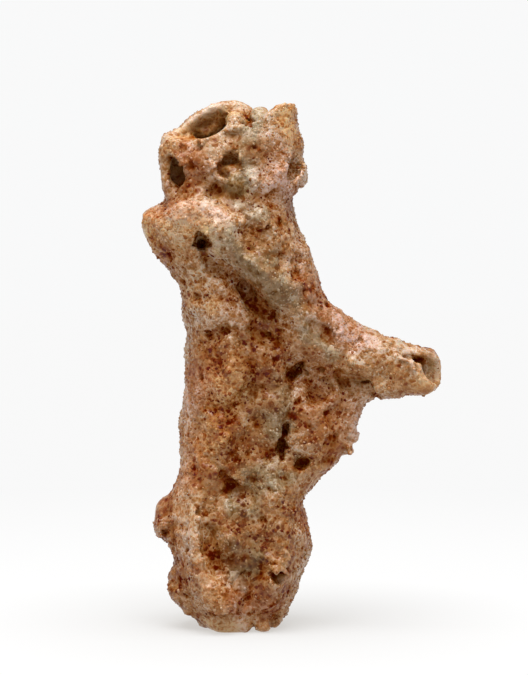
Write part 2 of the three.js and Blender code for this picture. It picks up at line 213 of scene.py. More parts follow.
# Hollows where the wall fell in, and lumps where sand clotted, each a band of points (x, z, half
# width) seen from the front, with how deep it goes or how far it stands.
HOLLOW_BANDS = (
    (0.35, [(-2.9, 33.5, 0.8), (-2.4, 33.9, 0.8)]),
    (0.35, [(-3.5, 28.6, 0.8), (-2.2, 27.3, 1.0), (-0.6, 26.2, 1.1), (0.3, 24.9, 1.1), (1.5, 24.2, 0.8)]),
    (0.30, [(-1.0, 23.0, 0.9), (0.9, 22.5, 1.1), (2.0, 22.0, 0.9)]),
    (0.30, [(2.9, 32.6, 0.8), (3.0, 30.2, 0.9), (3.2, 28.9, 0.9), (3.4, 27.3, 0.7)]),
    (0.25, [(1.9, 28.4, 0.7), (2.2, 28.0, 0.6)]),
    (0.40, [(4.7, 23.6, 0.8), (5.6, 22.5, 0.9)]),
    (0.16, [(4.5, 19.4, 1.1), (6.0, 19.5, 1.3), (5.4, 18.3, 1.2), (4.2, 17.5, 1.0)]),
    (0.35, [(6.9, 19.5, 0.8), (8.4, 18.7, 0.9), (9.8, 18.0, 0.8)]),
    (0.30, [(7.2, 17.8, 0.9), (6.1, 16.3, 1.1), (6.2, 14.6, 1.0), (5.4, 13.2, 0.9)]),
    (0.35, [(-2.7, 17.4, 0.9), (-1.5, 16.6, 1.1), (0.0, 18.1, 1.0)]),
    (0.30, [(-2.7, 13.2, 0.9), (-1.9, 11.8, 1.1), (-1.1, 10.9, 0.9), (-0.4, 10.2, 0.8)]),
    (0.35, [(1.4, 11.0, 0.6), (1.5, 10.8, 0.6)]),
    (0.25, [(2.5, 11.9, 0.5), (2.6, 10.6, 0.6)]),
    (0.32, [(-3.3, 8.0, 0.9), (-3.4, 6.4, 1.2), (-2.6, 4.8, 0.8)]),
    (0.25, [(-5.5, 6.8, 0.9), (-5.4, 4.1, 1.0)]),
    (0.20, [(-0.4, 4.1, 0.8), (-0.8, 2.5, 0.9)]),
    (0.25, [(-3.8, 25.4, 0.8), (-2.6, 25.6, 0.8)]),
    (0.25, [(-2.7, 22.5, 0.8), (-1.9, 22.8, 0.7)]),
    (0.30, [(1.2, 38.3, 0.5), (1.5, 38.2, 0.5)]),
)
LUMP_BANDS = (
    (0.20, [(-5.6, 31.6, 1.0), (-4.6, 31.9, 1.2), (-3.0, 32.2, 1.0)]),
    (0.25, [(0.3, 34.9, 0.5), (0.4, 33.7, 0.5)]),
    (0.25, [(-1.9, 31.5, 0.9), (0.8, 31.2, 1.0)]),
    (0.30, [(-1.7, 19.5, 1.2), (-1.3, 18.7, 1.1)]),
    (0.35, [(-3.0, 15.6, 1.1), (-2.6, 14.7, 1.3)]),
    (0.30, [(-4.6, 10.4, 1.5), (-4.5, 8.2, 1.6), (-4.4, 6.0, 1.4)]),
    (0.25, [(-3.9, 4.4, 1.2), (-2.6, 2.6, 1.3)]),
    (0.25, [(3.9, 15.0, 1.0), (4.2, 14.3, 1.0)]),
    (0.25, [(-3.6, 24.3, 1.0), (-3.0, 24.0, 1.0)]),
    (0.25, [(4.2, 24.6, 0.9), (6.5, 23.8, 0.9)]),
)

# Where the glass flowed out pale and smooth: the slanting band across the front, the streak up to
# the mouth, the trough down the lower front, and the lips of the mouths.
CREAM_BANDS = (
    [(-2.4, 31.0, 0.9), (-0.8, 29.2, 1.7), (0.7, 27.6, 2.1), (2.4, 25.8, 1.8), (4.2, 24.0, 1.5),
     (6.3, 20.9, 1.1)],
    [(0.3, 39.6, 1.2), (-0.3, 37.0, 1.2), (0.2, 34.6, 1.5), (-0.6, 32.8, 1.6), (0.8, 31.8, 1.0)],
    [(2.4, 18.4, 1.5), (1.2, 17.0, 1.8), (2.4, 14.6, 2.0), (1.8, 12.0, 2.3), (0.3, 9.0, 2.7),
     (-0.4, 5.5, 2.1)],
)
cream = bands(CREAM_BANDS)

# Only thick wall is softened and roughened, so that thin lips keep their edges. The bore is the
# space that glass mostly surrounds.
share_near = glass_share(7)
share_wide = averaged(share_near, 14)
thick = np.clip((share_near - 0.30) / 0.14, 0, 1)
stout = np.clip((glass_share(10) - 0.38) / 0.10, 0, 1)
bore = np.clip((share_wide - 0.60) / 0.12, 0, 1)
melted = softened(wall, 1)
wall = melted + (softened(melted, 3) - melted) * thick


def strand(path):
    """The distance to a chain of round-ended rods through points (x, y, z, radius)."""
    field = np.full(SHAPE, FAR_AWAY, np.float32)
    for start, end in zip(path[:-1], path[1:]):
        start = np.array(start, np.float32)
        span = np.array(end, np.float32) - start
        t = (X - start[0]) * span[0] + (Y - start[1]) * span[1] + (Z - start[2]) * span[2]
        t = np.clip(t / (span[:3] @ span[:3]), 0, 1)
        away = (X - start[0] - span[0] * t) ** 2 + (Y - start[1] - span[1] * t) ** 2
        away = np.sqrt(away + (Z - start[2] - span[2] * t) ** 2)
        field = np.minimum(field, away - start[3] - span[3] * t)
    return field


# Sharp hollows, each (centre, half axes, turn): the bowl of the mouth on top, the fold beside it,
# the slots and the round pit under the branch, the two parts of the knob's hole, the corner of
# the branch's mouth, the arch over the lens under the foot, and the branch's opening.
BOWL = ((-3.2, -2.2, 38.3), (1.6, 3.0, 0.75), 21)
HOLES = (
    ((-0.2, -1.3, 39.3), (0.5, 1.6, 0.28), 40),
    ((3.6, -1.8, 20.0), (0.75, 1.0, 0.3), 50),
    ((2.67, -2.4, 15.25), (0.28, 0.9, 0.5), -10),
    ((2.36, -2.4, 13.95), (0.27, 0.9, 0.95), 6),
    ((3.96, -2.5, 12.78), (0.7, 1.0, 0.5), 25),
    ((-3.65, -3.6, 29.95), (0.42, 0.9, 0.5), -20),
    ((-3.55, -3.6, 29.55), (0.64, 0.9, 0.28), 0),
    ((12.9, -1.2, 20.6), (0.65, 1.2, 0.28), -10),
)
FOOT_ARCH = ((-1.75, -4.6, 1.0), (1.55, 0.9, 0.75), 0)
BRANCH_OPENING = ((13.75, -0.7, 19.75), (1.1, 1.45, 0.62), -60)
BRANCH_MOUTH = ((11.8, -0.1, 19.8, 0.8), (14.8, -0.2, 19.8, 0.7))

# Lips drawn out smooth while the glass was soft, each a chain of points (x, y, z, radius): the
# bowl's back and front lips, the left mouth's lip and the branch's upper lip. BEHIND_LIPS and
# BEHIND_BOWL are the glass behind them, which makes each lip the edge of a wall.
LIPS = (
    ((-6.2, -0.5, 37.2, 0.5), (-5.6, -0.3, 37.7, 0.35), (-4.95, -0.2, 38.15, 0.28),
     (-4.05, 0.1, 39.0, 0.28), (-2.9, 0.4, 39.6, 0.32), (-2.15, 0.6, 39.75, 0.42),
     (-1.15, 0.8, 39.75, 0.5), (-0.3, 0.9, 39.4, 0.48)),
    ((-4.9, -1.4, 36.8, 0.3), (-3.7, -2.2, 37.1, 0.3), (-2.7, -2.4, 37.5, 0.3), (-1.8, -2.2, 38.1, 0.3)),
    ((-5.5, -1.3, 37.0, 0.5), (-6.3, -1.1, 36.5, 0.5), (-6.25, -1.2, 35.6, 0.42),
     (-6.3, -1.2, 34.6, 0.42), (-6.0, -1.3, 33.4, 0.5)),
    ((11.8, -0.9, 21.2, 0.3), (13.2, -0.5, 21.05, 0.3), (14.1, 0.4, 20.5, 0.3)),
)
BEHIND_LIPS = (
    ((-6.0, 0.1, 36.9, 0.6), (-4.9, 0.35, 37.75, 0.5), (-3.95, 0.7, 38.55, 0.5), (-2.9, 1.05, 39.1, 0.55),
     (-2.0, 1.4, 39.15, 0.7), (-1.0, 1.7, 39.0, 0.8), (-0.2, 1.7, 38.6, 0.8)),
    ((-5.6, 0.9, 36.9, 0.6), (-4.6, 1.3, 37.7, 0.7), (-3.2, 1.8, 38.5, 0.7)),
    ((-2.6, 2.4, 38.5, 0.8), (-1.2, 2.6, 38.6, 0.8)),
    ((-0.9, -0.2, 38.6, 0.65), (-0.7, 0.6, 38.8, 0.65)),
    ((-5.6, -0.5, 37.0, 0.5), (-6.15, -0.4, 36.4, 0.5), (-6.15, -0.35, 35.4, 0.5), (-6.15, -0.4, 34.4, 0.5),
     (-5.9, -0.5, 33.4, 0.5)),
)
BEHIND_BOWL = ((-3.4, 2.4, 38.15), (2.2, 1.9, 1.3), 27)
LIP_BLEND = 0.45
BEHIND_BLEND = 0.3

# Glass that closes places the solids leave too open, each (centre, half axes, turn, blend): the
# saddle between the bowl and the fold, the crater under the branch and a notch low in front.
FILLS = (
    ((-0.95, -0.6, 38.1), (0.8, 2.1, 1.35), 20, 0.4),
    ((5.3, -0.6, 18.2), (1.6, 1.0, 1.35), 0, 0.4),
    ((2.2, -3.3, 4.3), (0.7, 0.8, 0.7), 0, 0.3),
)
wall = joined(wall, egg(*BEHIND_BOWL), BEHIND_BLEND)
for path in BEHIND_LIPS:
    wall = joined(wall, strand(path), BEHIND_BLEND)
for centre, half, turn, blend in FILLS:
    wall = joined(wall, egg(centre, half, turn), blend)
lips = np.minimum.reduce([strand(path) for path in LIPS])
wall = joined(wall, lips, LIP_BLEND)

# Melted drops: the cream lobe on the rim, the floor and the olive bubble of the front mouth, the
# glass closing the left mouth from behind, the round ends of the knob, of the bump low on the
# left and of the branch's back and front lips, the brown lens under the foot and its neighbour.
FOOT_LENS = ((-1.75, -2.75, 0.85), (1.5, 0.95, 0.95), 0)
DROPS = (
    ((0.75, -0.3, 39.1), (0.75, 1.3, 0.65), 0),
    ((-1.3, -2.4, 35.05), (1.1, 0.9, 0.5), 0),
    ((-1.05, -3.3, 33.95), (0.7, 0.6, 0.75), 0),
    ((-5.4, 0.7, 35.3), (0.9, 1.2, 2.0), 0),
    ((-7.2, -0.6, 30.9), (0.95, 1.3, 1.2), 0),
    ((-6.3, -0.2, 8.9), (0.95, 1.2, 1.1), 0),
    ((13.4, 1.6, 19.9), (1.2, 1.1, 1.4), 0),
    ((12.7, -0.9, 18.95), (1.4, 0.8, 0.85), -20),
    FOOT_LENS,
    ((1.15, -3.1, 0.4), (0.4, 0.4, 0.35), 0),
)
DROP_BLEND = 0.35
for drop in DROPS:
    wall = joined(wall, egg(*drop), DROP_BLEND)


def scooped(field):
    """The field with each sharp hollow and the branch's mouth cut out of it: the greater of it
    and the hollow's distance turned inside out."""
    for scoop in (BOWL, *HOLES, FOOT_ARCH, BRANCH_OPENING):
        field = np.maximum(field, -egg(*scoop))
    return np.maximum(field, -strand(BRANCH_MOUTH))


wall = scooped(wall)

# The bowl's inside, behind its front lip and under its slanting brim, and the insides of the
# smaller holes.
BOWL_FRONT = -2.1
BOWL_BRIM = 39.25
BRIM_AT = -3.4
BRIM_RISE = 0.5
cup = np.clip(1.6 - egg(*BOWL) / 0.6, 0, 1) * np.clip((Y - BOWL_FRONT) / 0.6, 0, 1)
cup *= np.clip((BOWL_BRIM + BRIM_RISE * (X - BRIM_AT) - Z) / 0.3, 0, 1)
holes = np.maximum.reduce([close_to(egg(*scoop), 0.2) for scoop in HOLES])

# The bore's own glass lining, kept whole between the mouths: (x, y, z, radius) along each bore.
LINING = 0.5
BORE_PATHS = (
    ((-1.6, -0.3, 31, 1.4), (-0.2, -0.1, 25, 1.5), (0, 0.4, 20, 1.6), (-0.3, 0.3, 14, 1.4),
     (-0.9, 0.2, 8, 1.4), (-1.6, 0.2, 3.6, 1.2)),
    ((0.6, 0.2, 21, 1.1), (4, 0, 20.8, 1.1), (8, -0.1, 20.2, 0.95), (12.3, -0.1, 19.7, 0.95)),
)
void = np.minimum.reduce([strand(path) for path in BORE_PATHS])
lining = np.maximum(void - LINING, -void)

# Where no grit sticks: the flow bands, the drops, the lips, round the right mouth and the branch's
# mouth, in the bore and in the bowl. Elsewhere the wall is set in, to leave room for the grains.
RIGHT_MOUTH = ((4.4, -2.2, 35.3), (0.7, 1.8, 1.7))
BRANCH_END = ((13.6, -0.5, 19.2), (1.3, 2.6, 2.2))
GRIT_ROOM = 0.15
smooth_glass = np.maximum(0.5 * cream, np.minimum(close_to(lips, 0.35), 0.9))
for place in (RIGHT_MOUTH, BRANCH_END):
    smooth_glass = np.maximum(smooth_glass, np.clip(-2 * egg(*place), 0, 0.8))
for drop in DROPS:
    smooth_glass = np.maximum(smooth_glass, close_to(egg(*drop), 0.5))
smooth_glass = np.maximum.reduce([smooth_glass, bore, cup])
grit = 1 - smooth_glass

# The hollows and lumps, then three sizes of random swell, weaker where the glass flowed.
wall += GRIT_ROOM * grit * thick
hollowed = np.zeros(SHAPE, np.float32)
for depth, path in HOLLOW_BANDS:
    wall += depth * band(path) * stout
    hollowed = np.maximum(hollowed, band(path) * min(1, depth / 0.4))
for height, path in LUMP_BANDS:
    wall -= height * band(path) * thick
lumped = bands([path for height, path in LUMP_BANDS])
rough = 0.3 + 0.7 * grit
wall -= 0.14 * swell(1.9, 11) * rough * stout
wall -= 0.08 * swell(0.95, 12) * rough * (0.1 + 0.9 * thick)
wall -= 0.045 * swell(0.5, 13) * rough * (0.3 + 0.7 * thick)


def shell_places(count, seed):
    """Random places on the wall's surface: random cells that the surface passes, each moved to
    it along the field's slope."""
    pick = np.random.default_rng(seed)
    near = np.argwhere(np.abs(wall[1:-1, 1:-1, 1:-1]) < 0.6 * CELL) + 1
    near = near[pick.choice(len(near), min(count, len(near)), replace=False)]
    i, j, k = near.T
    slope = np.stack([wall[i + 1, j, k] - wall[i - 1, j, k], wall[i, j + 1, k] - wall[i, j - 1, k],
                      wall[i, j, k + 1] - wall[i, j, k - 1]], axis=1)
    slope /= np.linalg.norm(slope, axis=1, keepdims=True) + 1e-9
    return (near + LOW) * CELL - slope * wall[i, j, k][:, None], slope


# Grit half sunk in the glass, then the burst bubbles that pit it. The bore's lining closes what
# they broke through, the sharp hollows are cut clean again, and the foot is cut off level.
GRIT_TRIES = 34000
GRIT_SINK = (0.05, 0.14)
GRIT_RADIUS = (0.10, 0.18)
GRIT_BLEND = 0.12
places, out = shell_places(GRIT_TRIES, 21)
keep = rng.random(len(places)) < 0.12 + 0.88 * read(grit, places)
places = places[keep] - out[keep] * rng.uniform(*GRIT_SINK, (keep.sum(), 1))
wall = joined(wall, balls(places, rng.uniform(*GRIT_RADIUS, len(places))), GRIT_BLEND)

PIT_TRIES = 1500
PIT_RADIUS = 0.15
PIT_GROWTH = 0.14
PIT_LIFT = 0.05
pit_places, pit_out = shell_places(PIT_TRIES, 22)
keep = rng.random(len(pit_places)) < 1.4 * read(grit, pit_places) - 0.4
pit_places = pit_places[keep]
pit_out = pit_out[keep]
pit_size = PIT_RADIUS + PIT_GROWTH * rng.random(len(pit_places)) ** 3
pit_field = balls(pit_places + pit_out * PIT_LIFT, pit_size)
wall = np.maximum(wall, -pit_field)
wall = scooped(np.minimum(wall, lining))
wall = np.maximum(wall, -Z)
crevice = glass_share(3)
hollow = glass_share(8)

grid = openvdb.FloatGrid(float(BAND * CELL))
grid.copyFromArray(wall, ijk=tuple(int(n) for n in LOW))
grid.transform = spacing
skin_points, skin_quads = grid.convertToQuads(0.0)
skin_quads = skin_quads.astype(np.int64)


def main_body(points, quads):
    """The largest connected body of a mesh: each corner takes the lowest number among its
    neighbours until nothing changes."""
    label = np.arange(len(points))
    edges = np.concatenate([quads[:, [0, 1]], quads[:, [1, 2]], quads[:, [2, 3]], quads[:, [3, 0]]])
    while True:
        low = np.minimum(label[edges[:, 0]], label[edges[:, 1]])
        before = label.copy()
        np.minimum.at(label, edges[:, 0], low)
        np.minimum.at(label, edges[:, 1], low)
        label = label[label]
        if (label == before).all():
            break
    kept = label == np.bincount(label).argmax()
    number = np.cumsum(kept) - 1
    return points[kept], number[quads[kept[quads[:, 0]]]]


skin_points, skin_quads = main_body(skin_points, skin_quads)
a, b, c, d = (skin_points[skin_quads[:, k]] for k in range(4))
face_out = np.cross(c - a, d - b)
if (face_out * (a + c)).sum() < 0:
    skin_quads = skin_quads[:, ::-1]
    face_out = -face_out


def thinned(points, quads, count):
    """The mesh in about so many triangles, fewer where it is flat, as points and triangles."""
    mesh = bpy.data.meshes.new("skin_cells")
    mesh.from_pydata(points / 1000.0, [], quads)
    cells = bpy.data.objects.new("skin_cells", mesh)
    bpy.context.collection.objects.link(cells)
    fewer = cells.modifiers.new("fewer_faces", "DECIMATE")
    fewer.ratio = count / (2 * len(quads))
    fewer.use_collapse_triangulate = True
    made = cells.evaluated_get(bpy.context.evaluated_depsgraph_get()).data
    places = np.empty(3 * len(made.vertices), np.float32)
    made.vertices.foreach_get("co", places)
    made.calc_loop_triangles()
    faces = np.empty(3 * len(made.loop_triangles), np.int32)
    made.loop_triangles.foreach_get("vertices", faces)
    bpy.data.objects.remove(cells)
    bpy.data.meshes.remove(mesh)
    return places.reshape(-1, 3) * 1000.0, faces.reshape(-1, 3)


SKIN_TRIANGLES = 190000
thin_points, thin_faces = thinned(skin_points, skin_quads, SKIN_TRIANGLES)


def built(name, points, faces, masks):
    """A mesh piece from points in millimetres and faces of equal size, with one number per
    corner for each named mask."""
    mesh = bpy.data.meshes.new(name)
    sides = faces.shape[1]
    mesh.vertices.add(len(points))
    mesh.vertices.foreach_set("co", (points / 1000.0).astype(np.float32).ravel())
    mesh.loops.add(faces.size)
    mesh.loops.foreach_set("vertex_index", faces.astype(np.int32).ravel())
    mesh.polygons.add(len(faces))
    mesh.polygons.foreach_set("loop_start", np.arange(0, faces.size, sides, dtype=np.int32))
    mesh.update(calc_edges=True)
    for label, values in masks.items():
        layer = mesh.attributes.new(label, "FLOAT", "POINT")
        layer.data.foreach_set("value", values.astype(np.float32))
    piece = bpy.data.objects.new(name, mesh)
    bpy.context.collection.objects.link(piece)
    return piece


# Amber and rosy stains of iron; dark brown bands that are iron stain and also painted shade over
# the recessed middle and lower front; and paler places that heat or weather bleached, which are
# also painted light on the tops; all in the same front-view bands.
AMBER_BANDS = (
    [(-7.0, 28.6, 1.8), (-4.6, 28.2, 2.0), (-4.2, 26.0, 1.8)],
    [(-1.4, 20.2, 1.6), (-2.6, 14.6, 1.7), (-4.3, 9.4, 1.9), (-3.8, 4.6, 1.8), (-2.7, 2.0, 1.9)],
    [(6.5, 20.6, 1.6), (9.5, 19.4, 1.8), (13.0, 19.2, 1.8)],
    [(2.8, 39.4, 1.6), (3.2, 37.5, 1.4)],
    [(-7.2, 31.2, 2.2), (-4.6, 31.2, 2.0)],
)
ROSE_BANDS = (
    [(-6.8, 32.0, 1.5), (-4.2, 32.0, 1.2), (-2.2, 31.8, 1.2)],
    [(3.6, 33.0, 1.6), (4.0, 28.0, 1.6), (5.0, 24.5, 1.6), (8.5, 22.2, 1.8)],
    [(-4.6, 19.5, 1.6), (-4.6, 15.0, 1.8), (-4.6, 11.6, 1.4)],
    [(-1.0, 2.6, 1.4), (1.6, 2.2, 1.8), (3.8, 5.0, 1.6), (4.2, 8.8, 1.3)],
    [(-4.8, 37.0, 1.6), (-3.4, 35.6, 1.6)],
)
# Dark brown iron stain that also stands in for painted shade where the front is recessed.
UMBER_AND_SHADE_BANDS = (
    [(-3.3, 9.4, 0.6), (-3.0, 7.8, 0.8), (-3.2, 6.2, 0.8), (-3.0, 5.0, 0.6)],
    [(-1.8, 25.6, 2.2), (0.6, 23.0, 2.8), (2.6, 19.0, 3.0), (3.4, 14.6, 2.8), (1.8, 10.0, 3.4),
     (0.4, 6.0, 3.6)],
    [(3.2, 11.0, 2.0), (3.6, 6.0, 2.4)],
    [(-3.6, 26.0, 1.2), (-2.6, 22.0, 1.6), (-2.4, 16.5, 1.6), (-1.6, 12.0, 1.6)],
)
# Paler on the rim, the knob, the right peak and the branch's upper side: bleached glass, and also painted
# light on these tops.
BLEACHED_AND_LIT_BANDS = (
    [(-6.0, 37.5, 0.9), (-4.2, 39.0, 0.9), (-2.0, 39.7, 1.2), (-0.4, 39.2, 1.1)],
    [(-7.2, 31.2, 2.6), (-4.8, 31.2, 2.4), (-3.0, 31.8, 1.4)],
    [(3.2, 40.0, 2.4), (3.0, 37.4, 2.8), (2.6, 35.2, 2.2)],
    [(8.0, 22.6, 1.3), (11.0, 21.6, 1.3), (13.5, 21.0, 1.0)],
    [(-4.6, 24.0, 1.2), (-3.0, 24.2, 1.2)],
)
umber_and_shade = np.clip(0.75 * averaged(bands(UMBER_AND_SHADE_BANDS), 4) + 0.22 * swell(1.2, 39), 0, 1)
amber = np.clip(bands(AMBER_BANDS) * 0.8 + 0.30 * swell(2.6, 31) - 0.05, 0, 1)
rose = np.clip(bands(ROSE_BANDS) * 0.8 + 0.30 * swell(2.9, 32) - 0.05, 0, 1)
cream = np.clip(cream * (0.95 + 0.45 * swell(0.9, 33)) + 0.10 * swell(2.2, 34) - 0.08, 0, 1)

# What lies inside the left mouth, the front mouth and the branch, the olive bubble, and the pale
# front of the branch's opening with the lens under the foot.
MOUTHS_INSIDE = (
    ((-5.7, -0.6, 35.3), (0.7, 1.0, 1.5)),
    ((-1.8, -2.2, 35.7), (0.8, 1.0, 0.8)),
    ((12.7, -0.4, 20.5), (0.6, 0.8, 0.35)),
)
OLIVE_BUBBLE = ((-0.95, -3.6, 33.95), (0.85, 1.0, 0.8))
BRANCH_FROM = 9.0
OPENING_FROM = 13.3
BOWL_SHADE_TOP = 38.3
BOWL_DEEP_TOP = 38.0
inside = np.maximum.reduce([close_to(egg(*mouth), 0.35) for mouth in MOUTHS_INSIDE])
olive = close_to(egg(*OLIVE_BUBBLE), 0.3)
opening = close_to(egg(*BRANCH_OPENING), 0.3) * np.clip((X - OPENING_FROM) / 0.6, 0, 1)
opening = np.maximum(opening, close_to(egg(*FOOT_LENS), 0.3))

# The colour masks: shade is painted shade in crevices, hollows, mouths and low in the bowl, partly
# standing for iron stain, and the olive bubble's darker tone; deep is painted shade where no
# light reaches, in holes, the bore, the branch's mouth and the bowl; tips that stand proud; and
# how pale the glass is, partly painted light on the bleached tops.
shade = np.clip(1.1 * (crevice - 0.55) / 0.16 + 0.7 * (hollow - 0.54) / 0.2
                + 0.3 * hollowed - 0.5 * lumped + 0.16 * swell(1.3, 35), 0, 1)
shade = np.maximum.reduce([shade, 0.9 * inside, olive, cup * np.clip((BOWL_SHADE_TOP - Z) / 1.6, 0, 1)])
deep = np.maximum(holes * (crevice > 0.5), bore * (1 - opening)) + 0.3 * olive
deep = np.clip(deep + 0.4 * cup * (BOWL_DEEP_TOP - Z) + 0.6 * inside * (X > BRANCH_FROM), 0, 1)
amber = np.maximum.reduce([amber, 0.7 * inside, 0.8 * cup, 0.9 * opening])
shade *= 1 - 0.9 * opening
cream = np.maximum(cream * (1 - shade) * (1 - 0.6 * np.maximum(cup, opening)), olive)
tip = np.clip((0.47 - crevice) / 0.12 + 0.25 * lumped, 0, 1)
bleached_and_lit = averaged(bands(BLEACHED_AND_LIT_BANDS), 4)
pale = 0.5 + 0.08 * swell(1.5, 37) + 0.08 * swell(0.7, 38) + 0.15 * lumped + 0.40 * bleached_and_lit
pale = np.clip(pale + 0.25 * close_to(lips, 0.4) + 0.45 * opening + 0.1 * cup, 0, 1)
pit_mask = np.clip(1.0 - np.maximum(pit_field, -0.1) / 0.10, 0, 1)
WALL_MASKS = {"cream": cream, "amber": amber, "rose": rose, "shade": shade,
              "tip": tip, "pale": pale, "umber_and_shade": umber_and_shade, "deep": deep}


def masks_at(places):
    """The wall's masks at places in millimetres."""
    return {label: read(field, places) for label, field in WALL_MASKS.items()}


skin_masks = masks_at(thin_points)
skin_masks["pit"] = read(pit_mask, thin_points)
wall_skin = built("wall_skin", thin_points, thin_faces, skin_masks)
wall_skin.data.polygons.foreach_set("use_smooth", np.ones(len(thin_faces), bool))

# Colours of the fused sand, as linear light, from the deepest rust, which also takes painted shade,
# to the palest frosted edge, which also takes painted light and glints: the iron-stained sand, and
# the greyer glass of the flow bands.
STAIN_RAMP = ((0.0, (0.080, 0.005, 0.0002)), (0.22, (0.165, 0.036, 0.002)), (0.48, (0.255, 0.103, 0.021)),
              (0.74, (0.355, 0.190, 0.085)), (1.0, (0.450, 0.325, 0.231)))
FLOW_RAMP = ((0.0, (0.080, 0.022, 0.003)), (0.30, (0.155, 0.076, 0.021)), (0.60, (0.245, 0.153, 0.071)),
             (1.0, (0.425, 0.330, 0.225)))
AMBER_CAST = (1.08, 0.93, 0.55)
ROSE_CAST = (1.02, 0.90, 1.02)


def mixed(nodes, links, factor, first, second):
    """A colour mix node: first where factor is nought, second where it is one."""
    mix = nodes.new("ShaderNodeMix")
    mix.data_type = "RGBA"
    links.new(factor, mix.inputs[0])
    for socket, value in ((mix.inputs[6], first), (mix.inputs[7], second)):
        if isinstance(value, tuple):
            socket.default_value = (*value, 1)
        else:
            links.new(value, socket)
    return mix.outputs[2]


def ranged(nodes, links, value, low, high, to_low=0.0, to_high=1.0):
    """The value carried from one range to another, and held at its ends."""
    node = nodes.new("ShaderNodeMapRange")
    node.inputs[1].default_value = low
    node.inputs[2].default_value = high
    node.inputs[3].default_value = to_low
    node.inputs[4].default_value = to_high
    links.new(value, node.inputs[0])
    return node.outputs[0]


def added(nodes, links, *terms):
    """The sum of (value, weight) terms, each value a socket or a plain number, held between
    nought and one."""
    total = None
    for value, weight in terms:
        node = nodes.new("ShaderNodeMath")
        node.operation = "MULTIPLY_ADD"
        node.inputs[1].default_value = weight
        if isinstance(value, float):
            node.inputs[0].default_value = value
        else:
            links.new(value, node.inputs[0])
        if total is None:
            node.inputs[2].default_value = 0
        else:
            links.new(total, node.inputs[2])
        total = node.outputs[0]
    node.use_clamp = True
    return total


def ramped(nodes, links, value, stops):
    """The value's colour on a ramp of (place, colour) stops."""
    node = nodes.new("ShaderNodeValToRGB")
    while len(node.color_ramp.elements) < len(stops):
        node.color_ramp.elements.new(0.5)
    for element, (place, color) in zip(node.color_ramp.elements, stops):
        element.position = place
        element.color = (*color, 1)
    links.new(value, node.inputs[0])
    return node.outputs[0]


def stain_group():
    """The stain of the fused sand: one paleness carries it from rust through tan to frost, on the
    sand's ramp or, in the flow bands, the glass's, with an amber or rosy cast by its masks. The
    paleness also carries painted shade and painted light."""
    group = bpy.data.node_groups.new("sand_stain", "ShaderNodeTree")
    for name in ("Paleness", "Flow", "Amber", "Rose"):
        group.interface.new_socket(name, in_out="INPUT", socket_type="NodeSocketFloat")
    group.interface.new_socket("Color", in_out="OUTPUT", socket_type="NodeSocketColor")
    nodes = group.nodes
    links = group.links
    given = nodes.new("NodeGroupInput")
    sand = ramped(nodes, links, given.outputs["Paleness"], STAIN_RAMP)
    glass = ramped(nodes, links, given.outputs["Paleness"], FLOW_RAMP)
    color = mixed(nodes, links, given.outputs["Flow"], sand, glass)
    for name, cast in (("Amber", AMBER_CAST), ("Rose", ROSE_CAST)):
        tinted = nodes.new("ShaderNodeMix")
        tinted.data_type = "RGBA"
        tinted.blend_type = "MULTIPLY"
        tinted.inputs[7].default_value = (*cast, 1)
        links.new(given.outputs[name], tinted.inputs[0])
        links.new(color, tinted.inputs[6])
        color = tinted.outputs[2]
    links.new(color, nodes.new("NodeGroupOutput").inputs["Color"])
    return group


stain = stain_group()


def mask(nodes, name):
    """The value of one of the piece's own masks."""
    node = nodes.new("ShaderNodeAttribute")
    node.attribute_name = name
    return node.outputs["Fac"]


def stained(nodes, links, paleness):
    """The stain group in a material, fed with a paleness and the piece's own masks."""
    node = nodes.new("ShaderNodeGroup")
    node.node_tree = stain
    links.new(paleness, node.inputs["Paleness"])
    links.new(mask(nodes, "cream"), node.inputs["Flow"])
    links.new(mask(nodes, "amber"), node.inputs["Amber"])
    links.new(mask(nodes, "rose"), node.inputs["Rose"])
    return node.outputs[0]


def times(nodes, links, first, second):
    """The product of two values."""
    node = nodes.new("ShaderNodeMath")
    node.operation = "MULTIPLY"
    links.new(first, node.inputs[0])
    links.new(second, node.inputs[1])
    return node.outputs[0]


def noise(nodes, links, place, scale, detail, distortion=0.0):
    """A noise pattern with so many waves to a metre."""
    node = nodes.new("ShaderNodeTexNoise")
    node.inputs["Scale"].default_value = scale
    node.inputs["Detail"].default_value = detail
    node.inputs["Distortion"].default_value = distortion
    links.new(place, node.inputs["Vector"])
    return node


def cell_pattern(nodes, links, place, scale, feature):
    """A Voronoi pattern with so many cells to a metre."""
    node = nodes.new("ShaderNodeTexVoronoi")
    node.feature = feature
    node.inputs["Scale"].default_value = scale
    links.new(place, node.inputs["Vector"])
    return node


def ridges(nodes, links, pattern, half):
    """One along a noise pattern's middle value, falling to nothing half a width to each side."""
    off = nodes.new("ShaderNodeMath")
    off.operation = "SUBTRACT"
    off.inputs[1].default_value = 0.5
    links.new(pattern.outputs[0], off.inputs[0])
    away = nodes.new("ShaderNodeMath")
    away.operation = "ABSOLUTE"
    links.new(off.outputs[0], away.inputs[0])
    return ranged(nodes, links, away.outputs[0], 0.0, half, 1.0, 0.0)


# The wall's patterns, in waves or cells to a metre, how far the cells' edges wander, how wide the
# veins are, and the paleness that the masks raise and lower.
MOTTLES = 3000
SAND_CELLS = 2350
VEINS = 1700
WANDER = 0.00030
VEIN_HALF = 0.09
WALL_PALENESS = -0.162


